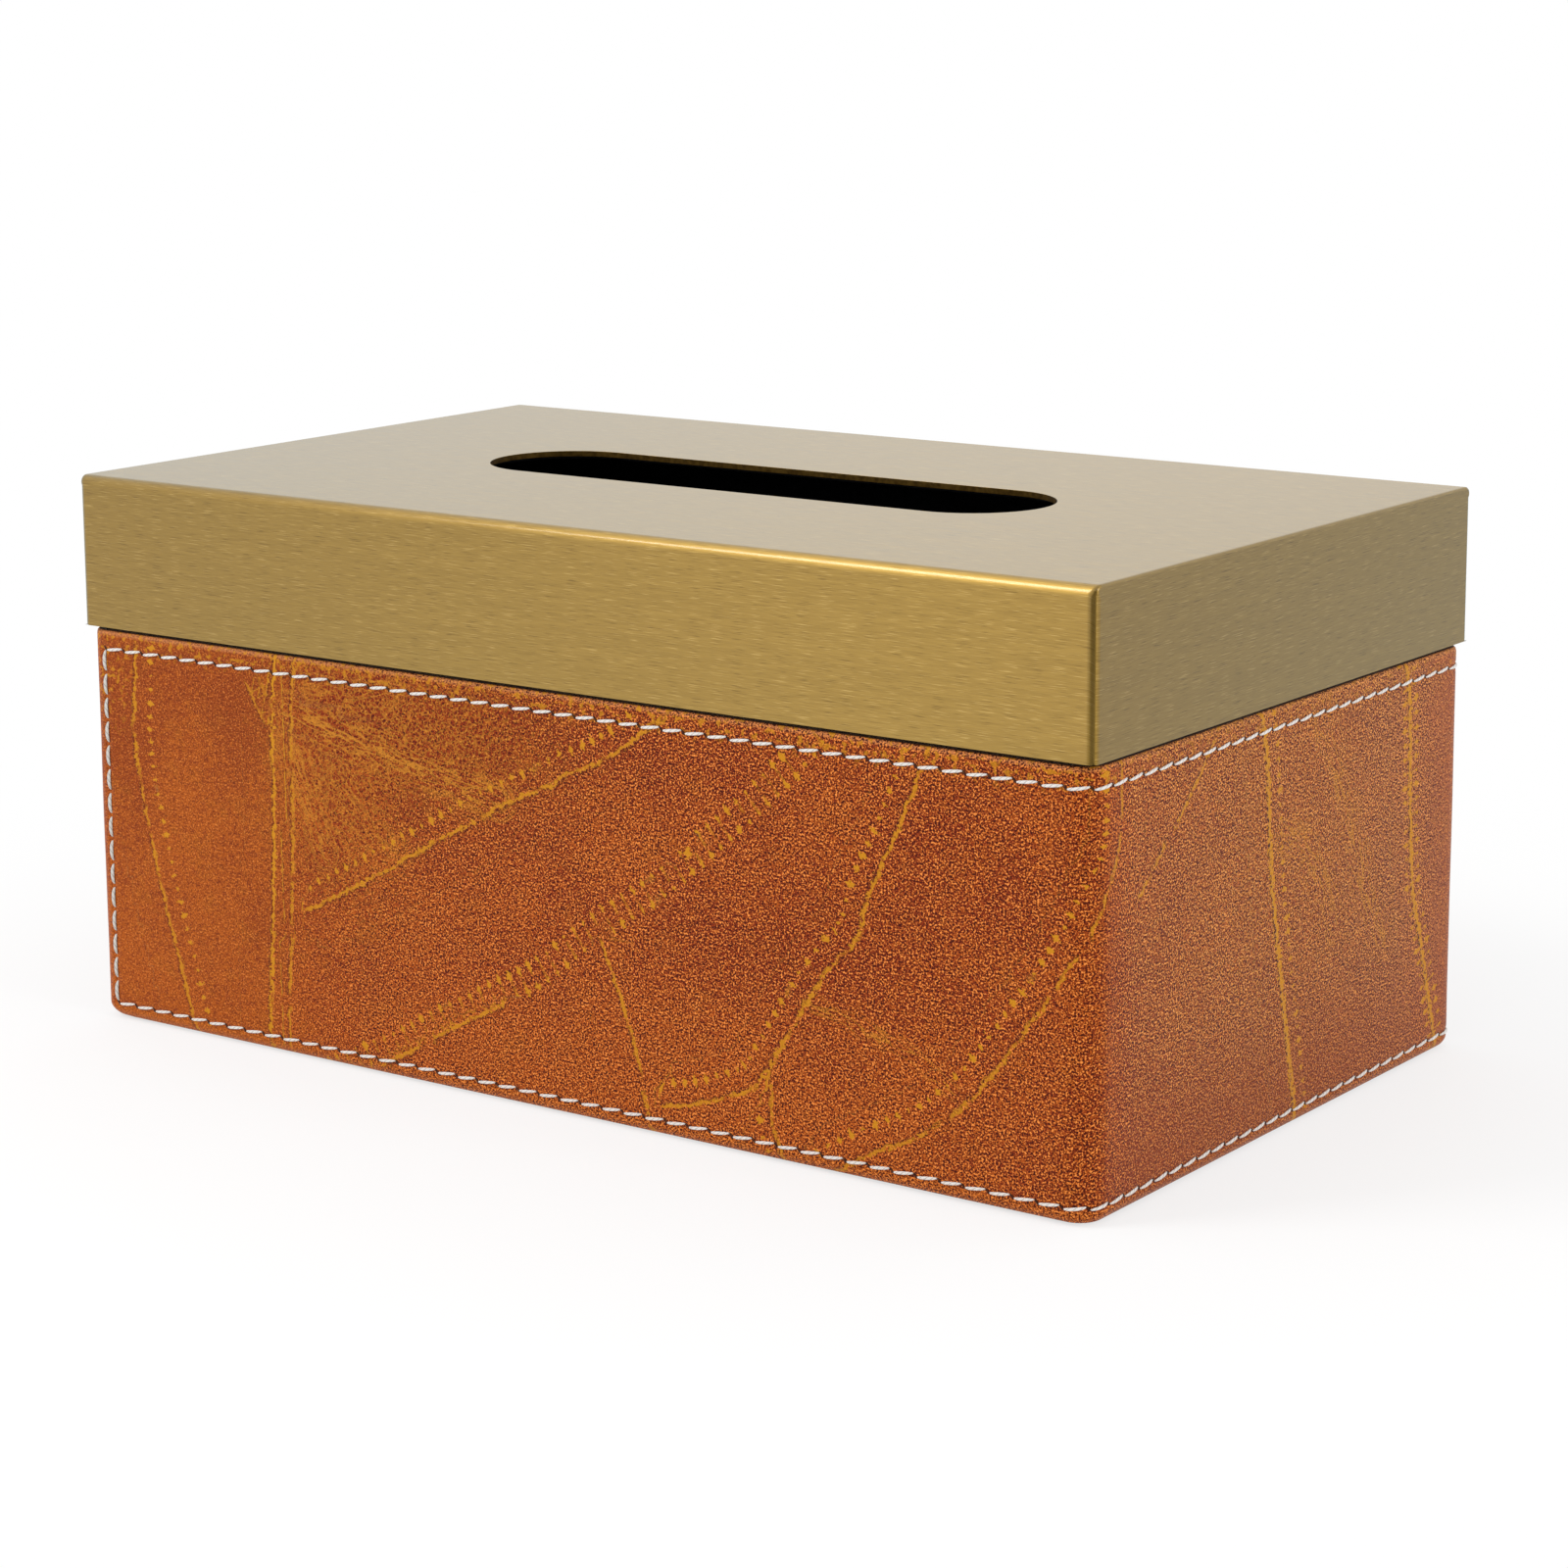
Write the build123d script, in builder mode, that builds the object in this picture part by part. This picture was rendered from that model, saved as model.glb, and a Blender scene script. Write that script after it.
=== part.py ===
"""Tissue box holder: a leather-wrapped case under a lift-off sheet-metal lid with a dispensing slot.

Millimetres, +Z up, +X along the length, -Y is the front. The origin is at the middle of the underside.
"""

import os

from build123d import *

# Overall sizes
lid_length = 250.0
lid_width = 147.0
overall_height = 117.5
lid_height = 32.0

# Lid: one sheet, folded down at the front and the back, with a plate welded into each end and ground flush
sheet = 1.2
lid_fold_inside_radius = 1.0
lid_end_edge_radius = 0.8
slot_length = 137.0
slot_width = 34.0
slot_edge_radius = 0.35

# Case: four mitred walls and a bottom let into a rebate
wall_thickness = 5.0
bottom_thickness = 5.0
rebate_depth = 2.5
case_corner_radius = 3.6

# Leather strip round the case: a skin whose edges and ends are turned over a card
leather = 1.0
card = 1.0
hem_width = 9.0
hem_roll_radius = 0.9
seam_gap = 0.3
seam_roll_radius = 0.6

# Cloth lining, and the felt that the case stands on
lining = 0.6
lid_lining_margin = 2.0
slot_lining_margin = 1.5
felt = 1.0
felt_inset = 4.0
felt_corner_radius = 3.0

# Clearances
lid_clearance = 0.5
shadow_gap = 0.6
bond = 0.1
wrap_lift = 0.4

# Heights that follow from these, from the lid down
lid_bottom = overall_height - lid_height
rim_top = overall_height - sheet - lining
case_top = rim_top - lining
case_bottom = felt
floor_top = case_bottom + bottom_thickness
wrap_top = lid_bottom - shadow_gap

# Plan sizes that follow, from the lid inwards
lid_inside_length = lid_length - 2 * sheet
lid_inside_width = lid_width - 2 * sheet
case_inset = lid_clearance + lining + bond
case_length = lid_inside_length - 2 * case_inset
case_width = lid_inside_width - 2 * case_inset
inside_length = case_length - 2 * wall_thickness
inside_width = case_width - 2 * wall_thickness
bottom_length = inside_length + 2 * rebate_depth
bottom_width = inside_width + 2 * rebate_depth

# Layers of the strip, measured outwards from the case
strip_inner = bond
card_outer = strip_inner + card
skin_inner = card_outer + bond
skin_outer = skin_inner + leather


def case_outline(growth, mode=Mode.ADD):
    """The case's rounded outline, grown outwards by growth."""
    RectangleRounded(
        case_length + 2 * growth,
        case_width + 2 * growth,
        case_corner_radius + growth,
        mode=mode,
    )


def lid_section(width, height, fold_radius):
    """The lid's section across its width, standing on its lower edge and rounded at its two folds."""
    with Locations((0, lid_bottom)):
        Rectangle(width, height, align=(Align.CENTER, Align.MIN))
    fillet(vertices().group_by(Axis.Y)[-1], radius=fold_radius)


# Lid cover: the folded section, hollowed from below between the two end plates
with BuildPart() as lid_cover:
    with BuildSketch(Plane.YZ.offset(-lid_length / 2)):
        lid_section(lid_width, lid_height, lid_fold_inside_radius + sheet)
    extrude(amount=lid_length)
    end_outlines = lid_cover.faces().filter_by(Axis.X).edges()
    ground_edges = end_outlines.filter_by_position(
        Axis.Z, lid_bottom, overall_height, inclusive=(False, True)
    )
    fillet(ground_edges, radius=lid_end_edge_radius)
    with BuildSketch(Plane.YZ.offset(-lid_inside_length / 2)):
        lid_section(lid_inside_width, lid_height - sheet, lid_fold_inside_radius)
    extrude(amount=lid_inside_length, mode=Mode.SUBTRACT)
    with BuildSketch(Plane.XY.offset(overall_height)):
        SlotOverall(slot_length, slot_width)
    extrude(amount=-sheet, mode=Mode.SUBTRACT)
    slot_rim = lid_cover.faces().sort_by(Axis.Z)[-1].inner_wires()[0]
    fillet(slot_rim.edges(), radius=slot_edge_radius)
lid_cover.part.label = "lid_cover"

# Lid lining: cloth under the lid's top, cut clear of the folds and of the slot
with BuildPart() as lid_lining:
    with BuildSketch(Plane.XY.offset(rim_top)):
        Rectangle(
            lid_inside_length - 2 * lid_lining_margin,
            lid_inside_width - 2 * lid_lining_margin,
        )
        SlotOverall(
            slot_length + 2 * slot_lining_margin,
            slot_width + 2 * slot_lining_margin,
            mode=Mode.SUBTRACT,
        )
    extrude(amount=lining)
lid_lining.part.label = "lid_lining"


def mitred_wall(label, outer_corners, inner_corners):
    """One wall of the case, between its two mitres, rebated for the bottom along its lower inside edge."""
    with BuildPart() as wall:
        with BuildSketch(Plane.XY.offset(case_bottom)):
            case_outline(0)
            Rectangle(inside_length, inside_width, mode=Mode.SUBTRACT)
            Polygon(*outer_corners, *reversed(inner_corners), align=None, mode=Mode.INTERSECT)
        extrude(amount=case_top - case_bottom)
        with BuildSketch(Plane.XY.offset(case_bottom)):
            Rectangle(bottom_length, bottom_width)
        extrude(amount=bottom_thickness, mode=Mode.SUBTRACT)
    wall.part.label = label
    return wall


# Case walls, each named with the signs of the two plan corners that it runs between
wall_ends = {
    "front_board": [(-1, -1), (1, -1)],
    "right_board": [(1, -1), (1, 1)],
    "back_board": [(1, 1), (-1, 1)],
    "left_board": [(-1, 1), (-1, -1)],
}
walls = []
for label, ends in wall_ends.items():
    outer_corners = [(x * case_length / 2, y * case_width / 2) for x, y in ends]
    inner_corners = [(x * inside_length / 2, y * inside_width / 2) for x, y in ends]
    walls.append(mitred_wall(label, outer_corners, inner_corners))

# Bottom board, in the rebates of the walls
with BuildPart() as bottom_board:
    with BuildSketch(Plane.XY.offset(case_bottom)):
        Rectangle(bottom_length - 2 * bond, bottom_width - 2 * bond)
    extrude(amount=bottom_thickness)
bottom_board.part.label = "bottom_board"

# Wall lining: cloth up the inside of the walls, over the rim, and down the neck to the leather
with BuildPart() as wall_lining:
    with BuildSketch(Plane.XY.offset(wrap_top + bond)):
        case_outline(bond + lining)
    extrude(amount=rim_top - wrap_top - bond)
    with BuildSketch(Plane.XY.offset(wrap_top + bond)):
        case_outline(bond)
    extrude(amount=case_top - wrap_top - bond, mode=Mode.SUBTRACT)
    with BuildSketch(Plane.XY.offset(floor_top)):
        Rectangle(inside_length, inside_width)
    extrude(amount=rim_top - floor_top)
    with BuildSketch(Plane.XY.offset(floor_top)):
        Rectangle(inside_length - 2 * lining, inside_width - 2 * lining)
    extrude(amount=rim_top - floor_top, mode=Mode.SUBTRACT)
wall_lining.part.label = "wall_lining"

# Floor lining: cloth on the bottom board, inside the wall lining
with BuildPart() as floor_lining:
    with BuildSketch(Plane.XY.offset(floor_top)):
        Rectangle(
            inside_length - 2 * (lining + bond),
            inside_width - 2 * (lining + bond),
        )
    extrude(amount=lining)
floor_lining.part.label = "floor_lining"

# Base felt: the sheet under the case
with BuildPart() as base_felt:
    with BuildSketch():
        RectangleRounded(
            case_length - 2 * felt_inset,
            case_width - 2 * felt_inset,
            felt_corner_radius,
        )
    extrude(amount=felt)
base_felt.part.label = "base_felt"

# The strip closes at the front left corner, on the line that halves it
seam_corner = (-case_length / 2, -case_width / 2)
arc_centre = (seam_corner[0] + case_corner_radius, seam_corner[1] + case_corner_radius)


def card_room(clearance):
    """Plan of the card, which stops a hem's width short of the strip's two ends."""
    case_outline(skin_inner - clearance)
    case_outline(strip_inner, mode=Mode.SUBTRACT)
    with Locations(arc_centre):
        Rectangle(
            2 * (hem_width + clearance),
            2 * (hem_width + clearance),
            mode=Mode.SUBTRACT,
        )


# Wrap backing: the card between the hems
with BuildPart() as wrap_backing:
    with BuildSketch(Plane.XY.offset(wrap_lift + hem_width + bond)):
        card_room(bond)
    extrude(amount=wrap_top - wrap_lift - 2 * (hem_width + bond))
wrap_backing.part.label = "wrap_backing"

# Leather wrap: the skin and its hems, with rolled edges, hollowed for the card and slit at the seam
with BuildPart() as leather_wrap:
    with BuildSketch(Plane.XY.offset(wrap_lift)):
        case_outline(skin_outer)
        case_outline(strip_inner, mode=Mode.SUBTRACT)
    extrude(amount=wrap_top - wrap_lift)
    rims = leather_wrap.faces().filter_by(Axis.Z).edges()
    fillet(rims, radius=hem_roll_radius)
    with BuildSketch(Plane.XY.offset(wrap_lift + hem_width)):
        card_room(0)
    extrude(amount=wrap_top - wrap_lift - 2 * hem_width, mode=Mode.SUBTRACT)
    with BuildSketch(Plane.XY.offset(wrap_lift)):
        with Locations(arc_centre):
            Rectangle(
                2 * (case_corner_radius + skin_outer),
                seam_gap,
                rotation=45,
                align=(Align.MAX, Align.CENTER),
            )
    extrude(amount=wrap_top - wrap_lift, mode=Mode.SUBTRACT)
    seam_reach = (case_corner_radius + skin_outer) / 2**0.5
    seam_middle = (arc_centre[0] - seam_reach, arc_centre[1] - seam_reach, (wrap_lift + wrap_top) / 2)
    seam_edges = leather_wrap.edges().filter_by(Axis.Z).sort_by_distance(seam_middle)[:2]
    fillet(seam_edges, radius=seam_roll_radius)
leather_wrap.part.label = "leather_wrap"

pieces = [
    lid_cover,
    lid_lining,
    *walls,
    bottom_board,
    wall_lining,
    floor_lining,
    base_felt,
    wrap_backing,
    leather_wrap,
]
os.makedirs("parts", exist_ok=True)
for piece in pieces:
    export_step(piece.part, f"parts/{piece.part.label}.step")
    print(f"{piece.part.label}: {piece.part.volume / 1000:.1f} cm3")
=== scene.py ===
# %% [markdown]
# # Tissue box holder
# A case wrapped in tan leather stands under a lift-off brass lid with one long slot. White thread runs
# along the leather's edges, and black cloth lines the inside. The imported CAD model is the fixed frame: most
# pieces made here take the place of one of its nodes and sit where that node sits, the stitches are added to
# it, and every piece rides on the case or on the lid.

# %% Load the frame
import math

import bmesh
import bpy
import numpy as np
from mathutils import Matrix, Vector, noise


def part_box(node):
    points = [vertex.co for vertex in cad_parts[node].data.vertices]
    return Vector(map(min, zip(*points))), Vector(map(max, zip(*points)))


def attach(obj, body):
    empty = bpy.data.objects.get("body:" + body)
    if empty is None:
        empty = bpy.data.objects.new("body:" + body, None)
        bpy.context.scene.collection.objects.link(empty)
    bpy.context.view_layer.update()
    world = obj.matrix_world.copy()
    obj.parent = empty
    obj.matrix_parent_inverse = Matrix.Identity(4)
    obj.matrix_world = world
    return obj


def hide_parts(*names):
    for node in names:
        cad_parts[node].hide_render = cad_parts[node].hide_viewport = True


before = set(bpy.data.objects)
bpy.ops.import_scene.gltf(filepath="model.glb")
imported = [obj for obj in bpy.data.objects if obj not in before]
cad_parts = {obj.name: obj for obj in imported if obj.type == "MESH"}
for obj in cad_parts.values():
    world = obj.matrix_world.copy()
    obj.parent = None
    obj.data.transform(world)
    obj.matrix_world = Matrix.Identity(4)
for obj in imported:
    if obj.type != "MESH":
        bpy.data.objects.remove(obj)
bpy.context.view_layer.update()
MM = 0.001

# %% [markdown]
# ## Camera
# The photograph is taken from the front right, a little above the lid and less than a metre away. The
# object stands near the middle of a square picture, so the lens is shifted a little downwards.

# %% Camera
scene = bpy.context.scene
scene.view_settings.view_transform = "Standard"
camera = bpy.data.objects.new("camera", bpy.data.cameras.new("camera"))
camera.location = (0.47254, -0.64729, 0.23171)
camera.rotation_euler = [math.radians(turn) for turn in (79.446, 0.303, 35.782)]
camera.data.sensor_width = 36.0
camera.data.lens = 89.655
camera.data.shift_y = -0.0875
camera.data.clip_end = 100.0
scene.collection.objects.link(camera)
scene.camera = camera
print("camera", round(camera.location.length, 3), "m from the middle of the underside")

# %% [markdown]
# ## Finishes as node trees
# Each finish is a small network of nodes. This helper adds one node per call and hands back its output, so
# that a finish reads as a list of what is laid over what.


# %% Node helper
class NodeDesk:
    """A node tree that is being wired up."""

    def __init__(self, tree):
        self.tree = tree

    def plug(self, value, socket):
        """Link an output to a socket, or set the socket to a plain value."""
        if isinstance(value, bpy.types.NodeSocket):
            self.tree.links.new(value, socket)
        else:
            socket.default_value = value

    def feed(self, node, inputs):
        """Link or set several sockets of a node."""
        for key, value in inputs.items():
            self.plug(value, node.inputs[key])

    def node(self, kind, inputs=None, **settings):
        """A new node with its settings and its inputs."""
        made = self.tree.nodes.new("ShaderNode" + kind)
        for name, setting in settings.items():
            setattr(made, name, setting)
        self.feed(made, inputs or {})
        return made

    def math(self, operation, *values):
        return self.node("Math", dict(enumerate(values)), operation=operation).outputs[0]

    def plus(self, first, second):
        return self.math("ADD", first, second)

    def minus(self, first, second):
        return self.math("SUBTRACT", first, second)

    def larger(self, first, second):
        return self.math("MAXIMUM", first, second)

    def away(self, value):
        """Distance from 0, to either side."""
        return self.math("ABSOLUTE", value)

    def times(self, first, *others):
        for other in others:
            first = self.math("MULTIPLY", first, other)
        return first

    def length(self, first, second):
        """Distance from two legs at a right angle."""
        squares = self.plus(self.math("POWER", first, 2.0), self.math("POWER", second, 2.0))
        return self.math("SQRT", squares)

    def scaled(self, place, factors):
        return self.node("VectorMath", {0: place, 1: factors}, operation="MULTIPLY").outputs[0]

    def split(self, vector):
        return self.node("SeparateXYZ", {0: vector}).outputs

    def attribute(self, name):
        return self.node("Attribute", attribute_name=name).outputs["Vector"]

    def object_place(self):
        """Where a point lies on its object, in metres."""
        return self.node("TexCoord").outputs["Object"]

    def noise(self, place, scale, detail=2.0, roughness=0.5, distortion=0.0):
        inputs = {
            "Vector": place,
            "Scale": scale,
            "Detail": detail,
            "Roughness": roughness,
            "Distortion": distortion,
        }
        return self.node("TexNoise", inputs).outputs[0]

    def wander(self, place, scale, reach):
        """A soft wave that strays to both sides of 0, by about a quarter of reach."""
        return self.times(self.minus(self.noise(place, scale), 0.5), reach)

    def step(self, value, low, high):
        """0 before low, 1 after high, smooth between; it falls where low is the larger."""
        inputs = {"Value": value, "From Min": low, "From Max": high}
        return self.node("MapRange", inputs, interpolation_type="SMOOTHSTEP").outputs[0]

    def span(self, value, low, high):
        """Take a value from 0 to 1 onto a range."""
        return self.node("MapRange", {"Value": value, "To Min": low, "To Max": high}).outputs[0]

    def blend(self, share, first, second):
        """A number between two numbers."""
        return self.node("Mix", {0: share, 2: first, 3: second}, data_type="FLOAT").outputs[0]

    def mix(self, share, first, second):
        """A colour between two colours."""
        return self.node("Mix", {0: share, 6: first, 7: second}, data_type="RGBA").outputs[2]

    def lay(self, under, over, mask, share):
        """One colour laid over another where a mask is, with a share of full cover."""
        return self.mix(self.times(mask, share), under, over)

    def toned(self, value, low, high, dark, light):
        """A colour that goes from dark to light while a value goes from low to high."""
        return self.mix(self.step(value, low, high), dark, light)

    def bump(self, height_mm, strength):
        inputs = {"Height": height_mm, "Strength": strength, "Distance": MM}
        return self.node("Bump", inputs).outputs[0]


def new_finish(name):
    """A new material with its desk and its shader."""
    material = bpy.data.materials.new(name)
    material.use_nodes = True
    desk = NodeDesk(material.node_tree)
    return material, desk, material.node_tree.nodes["Principled BSDF"]


def colour(red, green, blue):
    """A linear colour with full cover."""
    return (red, green, blue, 1.0)


# %% [markdown]
# ## Studio
# The object is lit like a catalogue picture: white all round, a soft box at the front left and a larger,
# weaker one at the right, and a pale floor. Rays that go straight to the camera or that come off a shiny
# surface see the surroundings as pure white, while the light that falls on matt surfaces is a little
# weaker, so that the soft boxes can model them.

# %% Surroundings
world = bpy.data.worlds.new("studio")
world.use_nodes = True
world.node_tree.nodes.clear()
scene.world = world
desk = NodeDesk(world.node_tree)


def seen_directly(desk):
    """1 for rays to the camera and for rays off or through shiny surfaces."""
    rays = desk.node("LightPath").outputs
    shiny = desk.larger(rays["Is Glossy Ray"], rays["Is Transmission Ray"])
    return desk.larger(rays["Is Camera Ray"], shiny)


surround = desk.node("Background", {"Color": colour(1, 1, 1), "Strength": 0.86}).outputs[0]
backdrop = desk.node("Background", {"Color": colour(1, 1, 1), "Strength": 1.0}).outputs[0]
sky = desk.node("MixShader", {0: seen_directly(desk), 1: surround, 2: backdrop}).outputs[0]
desk.node("OutputWorld", {"Surface": sky})


# %% Soft boxes
AIM = Vector((0, 0, 0.07))


def soft_box(name, place, size, watts):
    """A square area light that faces the middle of the object."""
    lamp = bpy.data.lights.new(name, "AREA")
    lamp.size = size
    lamp.energy = watts
    light = bpy.data.objects.new(name, lamp)
    light.location = place
    light.rotation_euler = (AIM - light.location).to_track_quat("-Z", "Y").to_euler()
    light.visible_camera = False
    scene.collection.objects.link(light)
    return light


key = soft_box("key", (-0.63, -0.80, 1.07), 0.45, 7.0)
fill = soft_box("fill", (1.25, -0.05, 0.75), 0.45, 4.0)
print("key light", round(key.location.length, 2), "m away, fill", round(fill.location.length, 2), "m away")

# %% [markdown]
# The floor is a wide matt sheet. Close to the object it shows the shadow; further out it turns into the
# same white as the surroundings, so that no horizon shows.

# %% Floor
FLOOR_HALF = 40.0
FLOOR_DROP = 0.1


def place_mesh(name, bm):
    """Turn a bmesh into an object in the scene."""
    mesh = bpy.data.meshes.new(name)
    bm.to_mesh(mesh)
    bm.free()
    placed = bpy.data.objects.new(name, mesh)
    scene.collection.objects.link(placed)
    return placed


bm = bmesh.new()
bmesh.ops.create_grid(bm, x_segments=1, y_segments=1, size=FLOOR_HALF)
bmesh.ops.translate(bm, vec=(0, 0, -FLOOR_DROP * MM), verts=bm.verts)
floor = place_mesh("floor", bm)

floor_material, desk, shader = new_finish("pale_floor")
desk.feed(shader, {"Base Color": colour(0.9, 0.9, 0.9), "Roughness": 0.9})
distance = desk.node("VectorMath", {0: desk.object_place()}, operation="LENGTH").outputs["Value"]
whitening = desk.span(desk.step(distance, 0.14, 0.34), 0.7, 1.0)
white = desk.node("Emission", {"Color": colour(1, 1, 1), "Strength": 1.0}).outputs[0]
share = desk.times(seen_directly(desk), whitening)
paper = desk.node("MixShader", {0: share, 1: shader.outputs[0], 2: white}).outputs[0]
desk.plug(paper, floor_material.node_tree.nodes["Material Output"].inputs["Surface"])
floor.data.materials.append(floor_material)
print("floor", 2 * FLOOR_HALF, "m wide")

# %% [markdown]
# Bright metal needs something to mirror besides white, or its edges get lost. So three cards stand outside
# the picture: a grey one on the floor at the back right, which the lid's right end mirrors, and two dark
# ones at the front right, one lying and one upright, which draw a dark line down the lid's near corner.
# Only shiny surfaces see them.

# %% Cards for the metal to mirror
CARD_LIFT = 0.4


def mirror_card(name, place, size, tone, heading=0, upright=False):
    """A card that only shows in reflections, flat on the floor or upright on it, turned by a heading."""
    bm = bmesh.new()
    bmesh.ops.create_grid(bm, x_segments=1, y_segments=1, size=0.5)
    bmesh.ops.scale(bm, vec=(*size, 1), verts=bm.verts)
    if upright:
        bmesh.ops.rotate(bm, matrix=Matrix.Rotation(math.pi / 2, 3, "X"), verts=bm.verts)
        bmesh.ops.translate(bm, vec=(0, 0, size[1] / 2), verts=bm.verts)
    bmesh.ops.rotate(bm, matrix=Matrix.Rotation(math.radians(heading), 3, "Z"), verts=bm.verts)
    bmesh.ops.translate(bm, vec=(*place, CARD_LIFT * MM), verts=bm.verts)
    card = place_mesh(name, bm)
    material, desk, shader = new_finish(name)
    desk.feed(shader, {"Base Color": colour(tone, tone, tone), "Roughness": 0.9})
    card.data.materials.append(material)
    card.visible_camera = False
    card.visible_diffuse = False
    card.visible_shadow = False
    print(name, size, "m")


mirror_card("grey_card", (0.70, 0.80), (1.0, 1.4), 0.62)
mirror_card("dark_floor_card", (0.55, -0.43), (0.75, 0.75), 0.10, heading=50)
mirror_card("dark_upright_card", (0.89, -0.72), (1.4, 1.0), 0.10, heading=50, upright=True)

# %% [markdown]
# ## Pieces
# A piece is one mesh object at the origin, with its place in its mesh. It gets its finish in a material slot,
# the body that it rides on, and, where it stands for a CAD node, that node is hidden.

# %% Piece helper
SHARP_FROM = math.radians(40)


def make_piece(name, bm, material, body, node=None):
    """Turn a bmesh into a smooth-shaded piece of the object."""
    bmesh.ops.recalc_face_normals(bm, faces=bm.faces)
    piece = place_mesh(name, bm)
    piece.data.shade_smooth()
    piece.data.set_sharp_from_angle(angle=SHARP_FROM)
    piece.data.materials.append(material)
    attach(piece, body)
    if node:
        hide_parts(node)
    print(name, len(piece.data.polygons), "faces")
    return piece


# %% [markdown]
# ## Brass lid
# The lid is one sheet of metal: its front and back skirts are folded down over a round bar, and a plate is
# welded into each end. The slot is punched through the top.
#
# A cube becomes the folded block, the open underside is taken off, the slot's outline is let into the top,
# and the skin is thickened inwards to the sheet's thickness. The slot's outline is a rectangle whose
# corners are rounded until its ends are half circles.

# %% Folded sheet
lid_low, lid_high = (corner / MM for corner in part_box("lid_cover"))
SHEET = 1.2
FOLD_RADIUS = 2.2
SLOT_LENGTH, SLOT_WIDTH = 137.0, 34.0
FOLD_STEPS, SLOT_STEPS = 8, 16


def round_off(bm, geom, radius, segments, affect):
    """Round edges or corners off, with arcs."""
    return bmesh.ops.bevel(
        bm,
        geom=geom,
        offset=radius * MM,
        offset_type="OFFSET",
        segments=segments,
        profile=0.5,
        affect=affect,
        clamp_overlap=True,
        material=-1,
    )


def edge_middle(edge):
    """The middle of an edge, in millimetres."""
    return (edge.verts[0].co + edge.verts[1].co) / 2 / MM


def add_slot_outline(bm, length, width, height):
    """The edges of a slot with round ends, at a height."""
    made = bmesh.ops.create_grid(bm, x_segments=1, y_segments=1, size=0.5)
    bmesh.ops.scale(bm, vec=(length * MM, width * MM, 1), verts=made["verts"])
    bmesh.ops.translate(bm, vec=(0, 0, height * MM), verts=made["verts"])
    face = made["verts"][0].link_faces[0]
    rounded = round_off(bm, face.verts[:], width / 2, SLOT_STEPS, "VERTICES")
    bmesh.ops.remove_doubles(bm, verts=rounded["verts"], dist=0.001 * MM)
    outline = max(bm.faces, key=lambda face: len(face.verts))
    edges = outline.edges[:]
    bmesh.ops.delete(bm, geom=[outline], context="FACES_ONLY")
    return edges


bm = bmesh.new()
bmesh.ops.create_cube(bm, size=1.0)
bmesh.ops.scale(bm, vec=(lid_high - lid_low) * MM, verts=bm.verts)
bmesh.ops.translate(bm, vec=(lid_high + lid_low) / 2 * MM, verts=bm.verts)
folds = [
    edge
    for edge in bm.edges
    if abs(edge_middle(edge).x) < 1 and edge_middle(edge).z > lid_high.z - 1
]
round_off(bm, folds, FOLD_RADIUS, FOLD_STEPS, "EDGES")
underside = [face for face in bm.faces if face.normal.z < -0.9]
bmesh.ops.delete(bm, geom=underside, context="FACES_ONLY")
top = max(bm.faces, key=lambda face: face.normal.z * face.calc_area())
top_edges = top.edges[:]
bmesh.ops.delete(bm, geom=[top], context="FACES_ONLY")
slot_edges = add_slot_outline(bm, SLOT_LENGTH, SLOT_WIDTH, lid_high.z)
bmesh.ops.triangle_fill(bm, edges=top_edges + slot_edges, use_beauty=True, use_dissolve=False)
bmesh.ops.recalc_face_normals(bm, faces=bm.faces)
bmesh.ops.solidify(bm, geom=bm.faces[:], thickness=SHEET * MM)
bm.normal_update()
print("sheet folded over", len(folds), "edges, with a slot of", len(slot_edges), "edges")

# %% [markdown]
# The end plates are ground flush. That rounds the upright corners well and only breaks the end edges of the
# top. The ends are cut across a few times, and at each cut the outer skin is drawn in by what the grinding
# took off.

# %% Ground ends
CORNER_ROUND = 1.8
END_EASE = 0.5
NEAR = 0.01
for degrees in (0, 18, 36, 54, 72):
    cut = lid_high.x - CORNER_ROUND * (1 - math.sin(math.radians(degrees)))
    for side in (-1, 1):
        bmesh.ops.bisect_plane(
            bm,
            geom=bm.verts[:] + bm.edges[:] + bm.faces[:],
            dist=0.001 * MM,
            plane_co=(side * cut * MM, 0, 0),
            plane_no=(1, 0, 0),
        )
ground_points = 0
for vert in bm.verts:
    x, y, z = vert.co / MM
    from_end = lid_high.x - abs(x)
    out = Vector((0, max(abs(y) - lid_high.y + FOLD_RADIUS, 0), max(z - lid_high.z + FOLD_RADIUS, 0)))
    if abs(out.length - FOLD_RADIUS) > NEAR:
        continue
    out.normalize()
    radius = CORNER_ROUND + (END_EASE - CORNER_ROUND) * out.z
    if from_end < radius:
        taken_off = radius - math.sqrt(radius**2 - (radius - from_end) ** 2)
        vert.co -= taken_off * MM * Vector((0, math.copysign(out.y, y), out.z))
        ground_points += 1
bm.normal_update()
print(ground_points, "points ground back at the ends")

# %% [markdown]
# The rim of the slot and the lower edge are eased so that they don't tear the tissues or catch a hand.
# These edges get a weight for their radius, and a Bevel modifier rounds them. A Weighted Normal modifier
# then keeps the large faces flat in the shading. The faces of the slot's wall are marked here, because the
# punch leaves them rough and they get a finish of their own.

# %% Eased edges
RIM_EASE = 0.35
LOWER_EASE = 0.3
SHARP_BEND = math.radians(50)


def on_slot(place):
    """Whether a place lies within the slot's outline."""
    return abs(place.x) < SLOT_LENGTH / 2 + NEAR and abs(place.y) < SLOT_WIDTH / 2 + NEAR


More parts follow.
